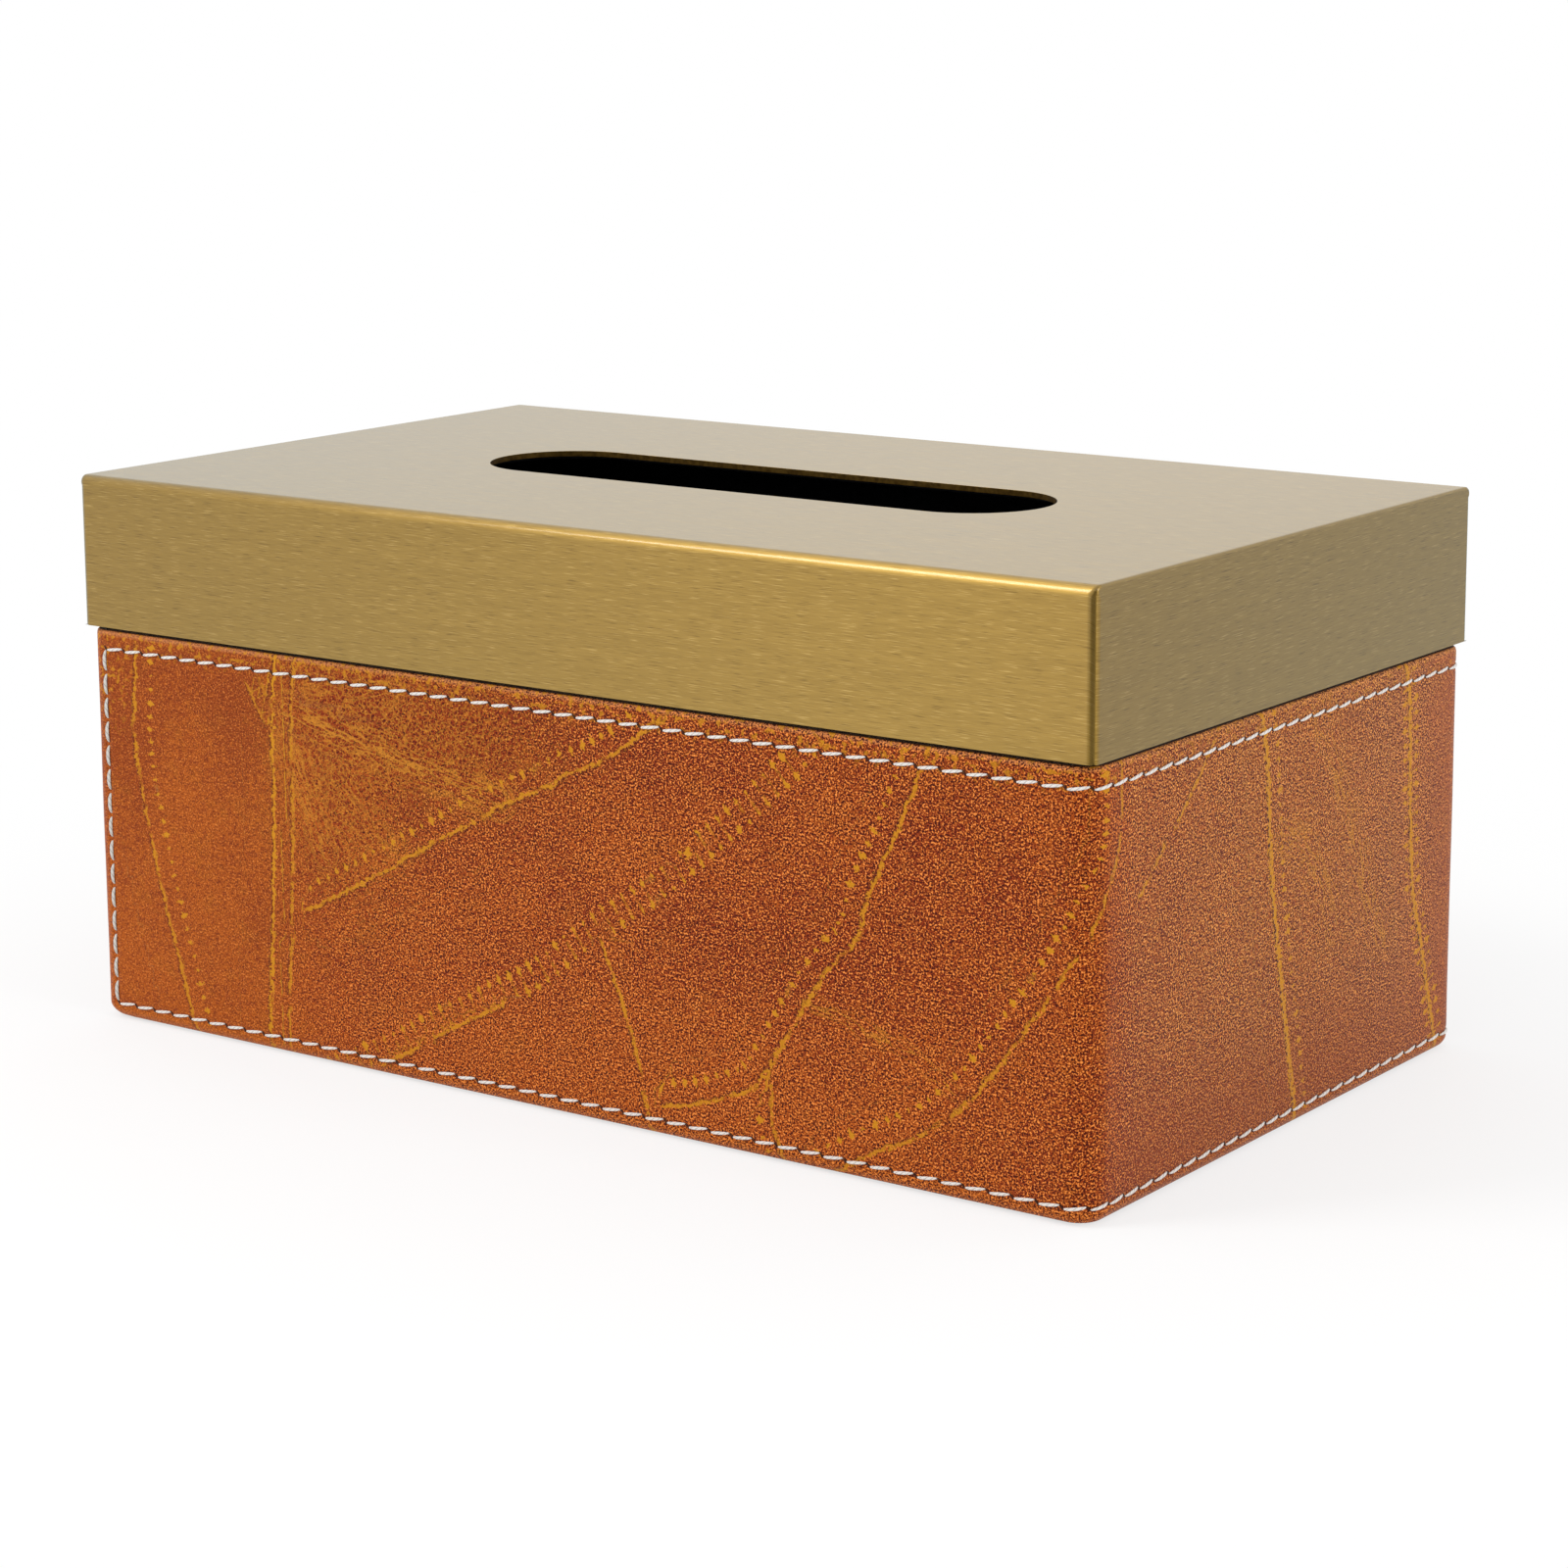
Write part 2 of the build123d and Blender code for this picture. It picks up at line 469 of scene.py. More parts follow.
weights = bm.edges.layers.float.new("bevel_weight_edge")
eased = 0
for edge in bm.edges:
    middle = edge_middle(edge)
    outside = abs(middle.x) > lid_high.x - SHEET + NEAR or abs(middle.y) > lid_high.y - SHEET + NEAR
    if edge.calc_face_angle() < SHARP_BEND:
        continue
    if outside and abs(middle.z - lid_low.z) < NEAR:
        edge[weights] = LOWER_EASE / RIM_EASE
        eased += 1
    elif on_slot(middle):
        edge[weights] = 1.0
        eased += 1
for face in bm.faces:
    if on_slot(face.calc_center_median() / MM) and abs(face.normal.z) < 0.5:
        face.material_index = 1
print(eased, "edges to ease")

# %% [markdown]
# The metal is brushed along the length on the top, the front and the back, and along the width on the two
# ends. A UV map in millimetres lays this down: u goes across the brushing, and v goes along it. On the
# folded sheet u follows the sheet over the folds.

# %% Brushing directions
brush = bm.loops.layers.uv.new("brush")
for face in bm.faces:
    on_end = abs(face.normal.x) > 0.75
    for loop in face.loops:
        x, y, z = loop.vert.co / MM
        across_sheet = y + z if y < 0 else y - z + 2 * lid_high.z
        loop[brush].uv = (z, y) if on_end else (across_sheet, x)

# %% [markdown]
# Brushing is a bundle of fine scratches. They show as faint streaks in brightness and in gloss, and they
# spread highlights across themselves, which is what the anisotropy does: its tangent runs across the
# scratches. A thin clear lacquer over the metal makes it paler at low angles.

# %% Brass finish
brass, desk, shader = new_finish("brushed_brass")
brushing = desk.node("UVMap", uv_map="brush").outputs[0]
hairs = desk.noise(desk.scaled(brushing, (4.5, 0.12, 1)), 1.0, detail=2.0, roughness=0.6)
streaks = desk.noise(desk.scaled(brushing, (0.9, 0.02, 1)), 1.0, detail=3.0, roughness=0.6)
worn = desk.blend(0.4, hairs, streaks)
metal = desk.toned(worn, 0.3, 0.7, colour(0.30, 0.182, 0.034), colour(0.37, 0.230, 0.047))
flecks = desk.noise(desk.scaled(brushing, (7.0, 0.2, 1)), 1.0, detail=1.0)
metal = desk.lay(metal, colour(0.58, 0.39, 0.12), desk.step(flecks, 0.60, 0.74), 0.7)
metal = desk.lay(metal, colour(0.16, 0.09, 0.014), desk.step(flecks, 0.40, 0.26), 0.8)
brass_inputs = {
    "Base Color": metal,
    "Roughness": desk.span(worn, 0.34, 0.50),
    "Normal": desk.bump(desk.times(hairs, 0.01), 0.5),
    "Tangent": desk.node("Tangent", direction_type="UV_MAP", uv_map="brush").outputs[0],
    "Metallic": 1.0,
    "Anisotropic": 0.85,
    "Specular Tint": colour(0.64, 0.86, 1.0),
    "Coat Weight": 0.68,
    "Coat Roughness": 0.15,
}
desk.feed(shader, brass_inputs)

# %% [markdown]
# The wall of the slot is as the punch left it, neither brushed nor lacquered, so it has gone brown. It gets
# a finish of its own, on the faces that were marked for it above.

# %% Cut edge
cut_edge, desk, shader = new_finish("cut_brass")
tarnish = desk.noise(desk.object_place(), 900.0, detail=3.0)
cut_tone = desk.toned(tarnish, 0.3, 0.7, colour(0.07, 0.038, 0.008), colour(0.13, 0.075, 0.016))
cut_roughness = desk.span(tarnish, 0.45, 0.65)
desk.feed(shader, {"Base Color": cut_tone, "Roughness": cut_roughness, "Metallic": 1.0})

# %% Lid
lid = make_piece("folded_lid", bm, brass, "lid", "lid_cover")
lid.data.materials.append(cut_edge)
rounding = lid.modifiers.new("rounding", "BEVEL")
rounding.limit_method = "WEIGHT"
rounding.width = RIM_EASE * MM
rounding.segments = 3
rounding.profile = 0.5
flatness = lid.modifiers.new("flatness", "WEIGHTED_NORMAL")
flatness.keep_sharp = True

# %% [markdown]
# ## Leather strip
# The case is wrapped in one strip of leather. Its long edges and its ends are turned over a card, and it
# closes at the front left corner. The strip is made flat and then laid round the case, as the real one is:
# s is the distance along the strip from the closing seam, t the height up its grain side, and depth goes in
# from the grain.
#
# Three functions do the laying. The first follows an edge that is rolled over in arcs: the upper edge in
# one tight half turn, and the lower edge in a full, soft curve and then a tight one. The second does this
# for both edges of the strip, and the third goes round the four corners and eases the strip's lower corners
# at the seam.

# %% Rolled edges
LEATHER = 1.0
HEM = 9.0
SOFT_HEM_EXTRA = 2.0
GRAIN_OFFSET = 2.2
HIGH_ROLL = [(1.05, 180)]
LOW_ROLL = [(3.0, 56), (0.5, 124)]


def rolled_edge(run, arcs):
    """Way in, way past the start and turn, after a run along an edge that is rolled over in arcs."""
    run = np.clip(run, 0, None)
    inward, past, turn = np.zeros_like(run), np.zeros_like(run), np.zeros_like(run)
    for radius, degrees in arcs:
        angle = np.clip(run / radius, 0, math.radians(degrees))
        inward += radius * (np.cos(turn) - np.cos(turn + angle))
        past += radius * (np.sin(turn + angle) - np.sin(turn))
        turn = turn + angle
        run = np.clip(run - radius * math.radians(degrees), 0, None)
    return inward + run * np.sin(turn), past + run * np.cos(turn), turn


def roll_length(arcs):
    """Length of leather that a rolled edge takes."""
    return sum(radius * math.radians(degrees) for radius, degrees in arcs)


def roll_reach(arcs):
    """How far a rolled edge stands out past its start."""
    return rolled_edge(np.linspace(0, roll_length(arcs), 400), arcs)[1].max()


wrap_low, wrap_high = (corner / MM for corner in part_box("leather_wrap"))
LOW_START = wrap_low.z + roll_reach(LOW_ROLL)
HIGH_START = wrap_high.z - roll_reach(HIGH_ROLL)
LOW_TURNED = LOW_START - roll_length(LOW_ROLL)
HIGH_TURNED = HIGH_START + roll_length(HIGH_ROLL)
LOW_END = LOW_TURNED - HEM + roll_reach(LOW_ROLL) - SOFT_HEM_EXTRA
HIGH_END = HIGH_TURNED + HEM - roll_reach(HIGH_ROLL)
print("strip is", round(HIGH_END - LOW_END, 1), "mm wide before its edges are turned over")


# %% Laying the strip
def fold_over(t, depth):
    """Offset from the case and height of points of the strip, with its long edges turned over."""
    low_in, low_past, low_turn = rolled_edge(LOW_START - t, LOW_ROLL)
    high_in, high_past, high_turn = rolled_edge(t - HIGH_START, HIGH_ROLL)
    turn = high_turn - low_turn
    offset = GRAIN_OFFSET - low_in - high_in - depth * np.cos(turn)
    height = np.clip(t, LOW_START, HIGH_START) + high_past - low_past - depth * np.sin(turn)
    return offset, height


CORNER_RADIUS = 3.6
# The easing of the lower corners: how far they rise, along what run, and how far up it reaches
CORNER_RISE, CORNER_RUN, CORNER_DROP = 1.4, 9.0, 2.9
outer_radius = CORNER_RADIUS + GRAIN_OFFSET
centre_x = wrap_high.x - outer_radius
centre_y = wrap_high.y - outer_radius
quarter = math.pi / 2 * outer_radius

# Leg by leg from the seam: its length, the angle that it turns by, and the corner that it ends at
legs = [
    (quarter / 2, 45, (-1, -1)),
    (2 * centre_x, 0, (1, -1)),
    (quarter, 90, (1, -1)),
    (2 * centre_y, 0, (1, 1)),
    (quarter, 90, (1, 1)),
    (2 * centre_x, 0, (-1, 1)),
    (quarter, 90, (-1, 1)),
    (2 * centre_y, 0, (-1, -1)),
    (quarter / 2, 45, (-1, -1)),
]
SEAM_HEADING = 225
knots = np.cumsum([0] + [length for length, turn, corner in legs])
headings = np.radians(SEAM_HEADING + np.cumsum([0] + [turn for length, turn, corner in legs]))
corners = np.array([(-1, -1)] + [corner for length, turn, corner in legs])
STRIP_LENGTH = knots[-1]


def wrap_round(s, t, depth):
    """Points of the flat strip where they lie round the case, in metres, with its lower corners eased."""
    offset, height = fold_over(t, depth)
    past = np.clip(1 - np.minimum(s, STRIP_LENGTH - s) / CORNER_RUN, 0, 1)
    squeeze = 1 - CORNER_RISE * (1 - np.sqrt(1 - past**2)) / CORNER_DROP
    eased_from = wrap_low.z + CORNER_DROP
    height = np.where(height < eased_from, eased_from - (eased_from - height) * squeeze, height)
    heading = np.interp(s, knots, headings)
    reach = CORNER_RADIUS + offset
    x = np.interp(s, knots, corners[:, 0] * centre_x) + reach * np.cos(heading)
    y = np.interp(s, knots, corners[:, 1] * centre_y) + reach * np.sin(heading)
    return np.stack([x, y, height], axis=-1) * MM


print("strip is", round(STRIP_LENGTH, 1), "mm long")

# %% [markdown]
# ### Stitching plan
# The thread runs 4 mm below the upper edge and 3 mm above the lower one, and down both ends beside the
# seam. A whole number of stitches goes round. The leather is drawn in under the thread, most of all at the
# needle holes.

# %% Stitching plan
UPPER_ROW = wrap_high.z - 4.0
LOWER_ROW = wrap_low.z + 3.1
END_ROW = 4.4
STITCHES_ROUND = 148
STITCHES_UP = 15
PITCH = STRIP_LENGTH / STITCHES_ROUND
END_PITCH = (UPPER_ROW - LOWER_ROW) / STITCHES_UP
VALLEY = 0.75
VALLEY_DEPTH = 0.16
HOLE_DEPTH = 0.14


def drawn_in(s, t):
    """How far the thread draws the leather in, in millimetres."""
    from_end = np.minimum(s, STRIP_LENGTH - s)
    inside_rows = (t > LOWER_ROW - 1) & (t < UPPER_ROW + 1)
    inside_ends = from_end > END_ROW - 1
    along = 0.5 + 0.5 * np.cos(2 * math.pi * (s - END_ROW) / PITCH)
    up = 0.5 + 0.5 * np.cos(2 * math.pi * (t - LOWER_ROW) / END_PITCH)
    groove = np.zeros_like(s)
    for row in (UPPER_ROW, LOWER_ROW):
        valley = np.exp(-(((t - row) / VALLEY) ** 2)) * inside_ends
        groove = np.maximum(groove, valley * (VALLEY_DEPTH + HOLE_DEPTH * along))
    valley = np.exp(-(((from_end - END_ROW) / VALLEY) ** 2)) * inside_rows
    return np.maximum(groove, valley * (VALLEY_DEPTH + HOLE_DEPTH * up))


print("stitches", round(PITCH, 2), "mm apart along the strip and", round(END_PITCH, 2), "mm up its ends")

# %% [markdown]
# ### The strip's mesh
# The section is a closed ring of rows: up the grain side from one hem to the other, then back down the
# flesh side. Rows lie closer where the thread draws the leather in. The lower hem is pared thin, so that it
# can turn tightly, and the strip's two ends are rounded off where they meet at the seam.

# %% Rows and columns
SEAM_GAP = 0.3
END_ROLL = 0.9
PARED = 0.42
ROW_MARGIN = 1.8


def joined(*runs):
    """Rows from several runs, in order, each row once."""
    return np.unique(np.round(np.concatenate(runs), 4))


def even_runs(stops, counts):
    """Rows from each stop to the next, with a count for each run."""
    return np.concatenate([np.linspace(*run) for run in zip(stops, stops[1:], counts)])


lower_hem = [LOW_END, LOW_TURNED, LOW_START - roll_length(LOW_ROLL[:1]), LOW_START]
upper_hem = [HIGH_START, HIGH_TURNED, HIGH_END]
face_stops = [LOWER_ROW + ROW_MARGIN, UPPER_ROW - ROW_MARGIN]
grain_rows = joined(even_runs(lower_hem + face_stops + upper_hem, [3, 6, 7, 9, 52, 11, 7, 3]))
flesh_rows = joined(even_runs(lower_hem + upper_hem, [2, 4, 4, 4, 3, 2]))
flesh_depth = np.interp(flesh_rows, lower_hem[2:], [PARED, LEATHER])
ring_t = np.concatenate([grain_rows, flesh_rows[::-1], grain_rows[:1]])
ring_depth = np.concatenate([np.zeros(len(grain_rows)), flesh_depth[::-1], np.zeros(1)])
first, last = SEAM_GAP / 2, STRIP_LENGTH - SEAM_GAP / 2
columns = joined(
    even_runs([first, first + 2, first + 8], [9, 13]),
    np.arange(first + 8, last - 8, PITCH / 4),
    even_runs([last - 8, last - 2, last], [13, 9]),
)
print(len(columns), "columns and", len(ring_t) - 1, "rows")

# %% [markdown]
# A flat grid becomes the closed section: each of its points is looked up by column and row, moved to its
# place round the case, and told where it lies on the flat strip. Then the section is closed and the ends
# are filled.

# %% Strip mesh
WAVE_RUN, WAVE_RISE = 42, 30
WAVE_DEPTH = 0.12
WAVE_FADE = 8
MIDDLE_OFFSET = 1.15
grid_s, grid_t = np.meshgrid(columns, ring_t, indexing="ij")
grid_depth = np.broadcast_to(ring_depth, grid_s.shape).copy()
on_face = (grid_t >= LOW_START - 1) & (grid_t <= HIGH_START)
waves = np.array([[noise.noise((s / WAVE_RUN, t / WAVE_RISE, 0.0)) for t in ring_t] for s in columns])
fade = np.clip(np.minimum(grid_t - LOW_START, HIGH_START - grid_t) / WAVE_FADE, 0, 1)
grid_depth += np.where(on_face, drawn_in(grid_s, grid_t) - WAVE_DEPTH * waves * fade, 0)
past_end = np.clip(1 - np.minimum(grid_s - first, last - grid_s) / END_ROLL, 0, 1)
outer_share = (fold_over(grid_t, 0)[0] - MIDDLE_OFFSET) / (GRAIN_OFFSET - MIDDLE_OFFSET)
grid_depth += END_ROLL * (1 - np.sqrt(1 - past_end**2)) * np.clip(outer_share, 0, 1)
points = wrap_round(grid_s, grid_t, grid_depth)

bm = bmesh.new()
column_count, row_count = grid_s.shape
bmesh.ops.create_grid(bm, x_segments=column_count - 1, y_segments=row_count - 1, size=0.5)
strip_layer = bm.verts.layers.float_vector.new("strip")
end_verts = ([], [])
for vert in bm.verts:
    column = round((vert.co.x + 0.5) * (column_count - 1))
    row = round((vert.co.y + 0.5) * (row_count - 1))
    vert.co = points[column, row]
    vert[strip_layer] = (grid_s[column, row], grid_t[column, row], ring_depth[row])
    if column in (0, column_count - 1):
        end_verts[column > 0].append(vert)
bmesh.ops.remove_doubles(bm, verts=bm.verts, dist=0.0005 * MM)
for verts in end_verts:
    rim = {vert for vert in verts if vert.is_valid}
    edges = [edge for edge in bm.edges if edge.is_boundary and set(edge.verts) <= rim]
    bmesh.ops.triangle_fill(bm, edges=edges, use_beauty=True, use_dissolve=False)
print("strip mesh", len(bm.faces), "faces,", sum(edge.is_boundary for edge in bm.edges), "open edges")

# %% [markdown]
# ### Creases
# The hide is printed and rubbed to look like old leather. Long ochre creases cross it, each with a row of
# ochre prick marks beside it, like an old seam that was unpicked. Each crease is a line of points on the
# flat strip, and says how strong its line is and how far to its left and right a row of marks runs.

# %% Creases on the flat strip
# Points as (s, t), then the line's strength, the marks on the left and the marks on the right
creases = [
    ([(14, 90), (13, 74), (12, 62), (14, 52)], 0.9, 4.5, 0),
    ([(14, 52), (17, 38), (20, 27), (24, 14), (29, -4)], 0.85, 4.5, 0),
    ([(54, 90), (52, 73), (52, 52), (51, 31), (49.5, 13), (49, -4)], 1.0, 0, 0),
    ([(59.2, 90), (57.2, 73), (57.2, 52), (56.2, 31), (54.7, 13), (54.2, -4)], 0.8, 0, 0),
    ([(45, 78), (47, 75), (49, 71.5), (51, 69.5)], 0.7, 0, 0),
    ([(49, 79.5), (50.5, 76), (52, 73.5)], 0.6, 0, 0),
    ([(60, 32), (74, 39), (90, 48), (112, 60.5), (124, 66)], 0.9, 4.3, 0),
    ([(124, 66), (130, 69.5), (140, 73.5), (150, 81), (160, 90)], 0.9, 4.3, 0),
    ([(57, -6), (68.4, 0.2), (82.4, 6.2), (98.4, 15.7)], 0, 2.3, 2.3),
    ([(98.4, 15.7), (121.4, 27.7), (132.4, 37.2), (150.4, 49.2)], 0, 2.3, 2.3),
    ([(150.4, 49.2), (166.4, 62.7), (184.4, 78.7), (191.4, 88.2)], 0, 2.3, 2.3),
    ([(80, 2.3), (83.6, 4.2), (99.5, 13.7), (113, 20.8)], 0.9, 0, 0),
    ([(156.8, 56.2), (159.6, 58.2)], 1.8, 0, 0),
    ([(137.5, 37), (141, 29), (144.5, 21), (146.5, 13.5), (150, -4)], 0.9, 0, 0),
    ([(216, 90), (208.5, 72), (204, 62), (200, 55), (198, 46), (192, 41), (186, 32)], 0.9, 0, 4.5),
    ([(186, 32), (178.5, 20), (174.5, 14), (167, 10.5), (160, 8), (152, 6.5)], 0.9, 0, 4.5),
    ([(177.6, 17.6), (178, 13.5), (178, 8), (179.4, 4.6), (182, -4)], 0.8, 0, 3.0),
    ([(255, 90), (256, 75), (254.5, 67), (251, 61.5), (247, 53), (240, 42.5)], 0.8, 0, 5.0),
    ([(240, 42.5), (231, 30), (222, 18.5), (212, 11), (200, 5.5), (186, -4)], 0.8, 0, 5.0),
    ([(292, 86), (280, 73.5), (270, 65.5), (262, 58.5)], 0.9, 0, 0),
    ([(305, 90), (309, 77), (310, 63), (312, 48), (316, 30), (319, 17), (324, -4)], 1.8, 4.3, 0),
    ([(364, 90), (368, 78), (368.5, 63), (369.5, 46), (371, 36), (375, 26), (385, -4)], 1.8, 2.7, 2.3),
    ([(420, 90), (424, 70), (423, 48), (430, 26), (441, 8), (450, -4)], 0.9, 4.5, 0),
    ([(446, 40), (470, 46), (494, 57), (512, 70), (530, 90)], 0.8, 4.4, 0),
    ([(476, -4), (486, 14), (502, 30), (524, 44), (548, 62), (566, 90)], 0.5, 0, 4.6),
    ([(562, -4), (560, 18), (566, 36), (577, 52), (582, 90)], 0.9, 4.3, 0),
    ([(600, 90), (603, 66), (612, 42), (626, 22), (634, -4)], 0.9, 0, 4.5),
    ([(664, -4), (668, 22), (664, 46), (670, 66), (669, 90)], 0.9, 4.4, 0),
    ([(688, 12), (704, 26), (722, 36), (738, 52), (748, 90)], 0.6, 0, 4.5),
    ([(758, 90), (762, 60), (758, 34), (764, 12), (763, -4)], 0.9, 4.5, 0),
]
# Points, then the half width and the strength of a band of fine wrinkles
wrinkles = [
    ([(56, 73), (70, 70.5), (90, 66), (112, 62)], 4.5, 1.0),
    ([(57, 66), (61, 56), (66, 45)], 6.0, 0.7),
    ([(68, 62), (76, 54), (84, 48)], 5.0, 0.5),
    ([(62, 78), (72, 77), (85, 80)], 4.0, 0.6),
    ([(188, 32.5), (200, 29.6), (210, 27), (219, 21)], 1.4, 1.0),
    ([(331, 79), (339, 66), (345, 52), (351, 39), (357, 30)], 4.0, 1.0),
    ([(316, 59), (326, 55), (334, 44), (337, 37)], 4.0, 0.9),
    ([(450, 64), (470, 66), (486, 72)], 4.5, 0.8),
    ([(538, 24), (552, 31), (570, 30)], 4.0, 0.8),
    ([(690, 58), (706, 62), (722, 60)], 4.0, 0.9),
]
print(len(creases), "creases and", len(wrinkles), "wrinkled bands")

# %% [markdown]
# For every point of the mesh, the nearest crease is found, with the point's distance from it, its side, and
# the way along it. The finish draws lines and marks from these numbers.

# %% Distances from the creases
REACH = 9.0
WAY_APART = 100


def rounded_line(points):
    """The line with its corners cut twice, so that it bends instead of breaking."""
    line = np.array(points, float)
    for _ in range(2):
        near = 0.75 * line[:-1] + 0.25 * line[1:]
        far = 0.25 * line[:-1] + 0.75 * line[1:]
        middle = np.stack([near, far], axis=1).reshape(-1, 2)
        line = np.concatenate([line[:1], middle, line[-1:]])
    return line


def measure(flat, line):
    """Distance from a line (negative on its right), way along it, and 1 beside it, 0 past its ends."""
    best = np.full(len(flat), REACH)
    along = np.zeros(len(flat))
    beside = np.zeros(len(flat))
    travelled = 0.0
    for start, end in zip(line[:-1], line[1:]):
        length = np.hypot(*(end - start))
        run = (end - start) / length
        near = np.abs(flat - (start + end) / 2).max(axis=1) < REACH + length
        rel = flat[near] - start
        way = rel @ run
        off = rel[:, 1] * run[0] - rel[:, 0] * run[1]
        clipped = np.clip(way, 0, length)
        gap = np.hypot(off, way - clipped)
        nearer = gap < np.abs(best[near])
        chosen = np.flatnonzero(near)[nearer]
        best[chosen] = (np.where(off < 0, -1, 1) * gap)[nearer]
        along[chosen] = travelled + clipped[nearer]
        beside[chosen] = np.clip(1 - np.abs(way - clipped), 0, 1)[nearer]
        travelled += length
    return best, along, beside


strip = np.array([vert[strip_layer] for vert in bm.verts])
flat = strip[:, :2]
crease = np.full((len(flat), 3), REACH)
crease_look = np.zeros((len(flat), 3))
for index, (points, strength, left, right) in enumerate(creases):
    off, along, beside = measure(flat, rounded_line(points))
    nearer = np.abs(off) < np.abs(crease[:, 0])
    values = np.stack([off, along + WAY_APART * index, beside], axis=1)
    crease = np.where(nearer[:, None], values, crease)
    look = np.stack([strength * beside, left * beside, right * beside], axis=1)
    crease_look = np.where(nearer[:, None], look, crease_look)
wrinkle = np.zeros((len(flat), 3))
for index, (points, half_width, strength) in enumerate(wrinkles):
    off, along, _ = measure(flat, rounded_line(points))
    mask = strength * np.exp(-((off / half_width) ** 2)) * (np.abs(off) < REACH)
    values = np.stack([off, along + WAY_APART * index, mask], axis=1)
    wrinkle = np.where((mask > wrinkle[:, 2])[:, None], values, wrinkle)
print("measured", len(flat), "points")

# %% [markdown]
# ### Tone of the hide
# The hide isn't even. The front is lighter along its foot and darker under its upper edge, the right end is
# darker at its foot, and single places are lighter or darker. The grain is deepest on the right end,
# shallow at the strip's start, and coarse in a few places.


# %% Tone of the hide
def patchwork(places):
    """Sum of soft patches on the flat strip."""
    total = np.zeros(len(flat))
    for middle, spread, amount in places:
        total += amount * np.exp(-(((flat - middle) / spread) ** 2).sum(axis=1))
    return total


# Middle (s, t), spread in s and in t, and how much lighter the place is
patches = [
    ((10, 22), (26, 34), 0.6),
    ((150, 8), (95, 14), 1.7),
    ((90, 76), (80, 12), -0.9),
    ((8, 58), (15, 18), -0.7),
    ((35, 52), (16, 18), 0.5),
    ((85, 35), (24, 12), 0.45),
    ((138, 60), (18, 12), 0.35),
    ((190, 68), (16, 10), 0.3),
    ((292, 52), (22, 18), 0.3),
    ((350, 55), (26, 22), 0.15),
    ((43, 74), (9, 9), -0.7),
    ((180, 40), (18, 14), -0.6),
    ((215, 58), (20, 16), -0.4),
    ((300, 6), (70, 17), -1.2),
    ((450, 50), (24, 16), 0.45),
    ((540, 30), (30, 14), -0.4),
    ((600, 66), (20, 12), 0.4),
    ((690, 40), (24, 18), 0.35),
    ((740, 20), (20, 12), -0.4),
]
tone = patchwork(patches)
# The depth of the grain at stations along the strip
grain_stations = [0, 45, 75, 140, 250, 300, 360, 386, 460, 600, 700, 782]
grain_depths = [0.5, 0.6, 1.1, 1.2, 1.15, 2.2, 2.0, 0.7, 0.7, 1.0, 0.8, 0.5]
depth_of_grain = np.interp(flat[:, 0], grain_stations, grain_depths)
# Middle (s, t), spread in s and in t, and how coarse the grain is there
coarse_places = [
    ((70, 64), (17, 26), 1.0),
    ((100, 74), (24, 13), 0.9),
    ((316, 50), (44, 50), 0.4),
    ((520, 30), (40, 20), 1.0),
]
hide = np.stack([tone, depth_of_grain, np.clip(patchwork(coarse_places), 0, 1)], axis=1)
print("tone from", round(tone.min(), 2), "to", round(tone.max(), 2))

# %% [markdown]
# ### Leather finish
# From the bottom up: a softly mottled orange-brown ground, with an ochre haze in places, a painted highlight
# along the rolled upper edge, painted shade on the lower edge where it turns under, and a pale painted sheen
# on the right end; a sandy grain of dark pits and tan tops, with painted sheen on the tops of the right end;
# a darker, redder band at the foot of the right end; a net of ochre veins round small pebbles where the grain
# is coarse; bands of wrinkles; ochre creases with a dark line of painted shade on one side; and prick marks.
# The right end lies from 252 to 387 mm along the strip.

# %% Ground and grain
OCHRE = colour(0.58, 0.24, 0.008)
TAN = colour(0.90, 0.29, 0.055)
PIT = colour(0.060, 0.005, 0.0015)
VEIN = colour(0.58, 0.225, 0.018)
leather, desk, shader = new_finish("tan_leather")
place = desk.attribute("strip")
s, t, flesh = desk.split(place)
hide_tone, grain_depth, coarse_share = desk.split(desk.attribute("hide"))

cloud = desk.noise(place, 0.06, detail=4.0, roughness=0.6)
cloud = desk.plus(cloud, desk.wander(place, 0.8, 1.8))
ground_tone = desk.math("MULTIPLY_ADD", hide_tone, 0.3, cloud)
ground = desk.toned(ground_tone, 0.2, 0.85, colour(0.25, 0.029, 0.003), colour(0.41, 0.079, 0.006))
haze = desk.step(desk.noise(place, 0.11, detail=5.0, roughness=0.7), 0.5, 0.7)
yellowed = desk.math("MULTIPLY_ADD", desk.step(s, 66.0, 48.0), 0.16, desk.times(haze, 0.2))
ground = desk.mix(yellowed, ground, colour(0.45, 0.15, 0.008))
right_end = desk.times(desk.step(s, 252.0, 262.0), desk.step(s, 396.0, 388.0))
# Painted sheen: the right end is painted paler towards its far corner, standing in for the haze that its
# glancing view catches.
right_end_painted_sheen = desk.times(right_end, desk.span(desk.step(s, 320.0, 386.0), 0.04, 0.15))
ground = desk.mix(right_end_painted_sheen, ground, colour(0.58, 0.36, 0.21))
# Painted highlight: the rolled upper edge is painted lighter where it catches the light.
upper_lip_highlight = desk.step(t, HIGH_START - 0.4, HIGH_START + 0.5)
ground = desk.lay(ground, colour(0.62, 0.25, 0.09), upper_lip_highlight, 0.6)
# Painted shade: the lower edge, which turns under, is painted a deeper orange, standing in for the reflection
# it loses.
lower_lip_shade = desk.step(t, LOW_START + 0.6, LOW_START - 0.6)
ground = desk.lay(ground, colour(0.58, 0.16, 0.015), lower_lip_shade, 0.4)

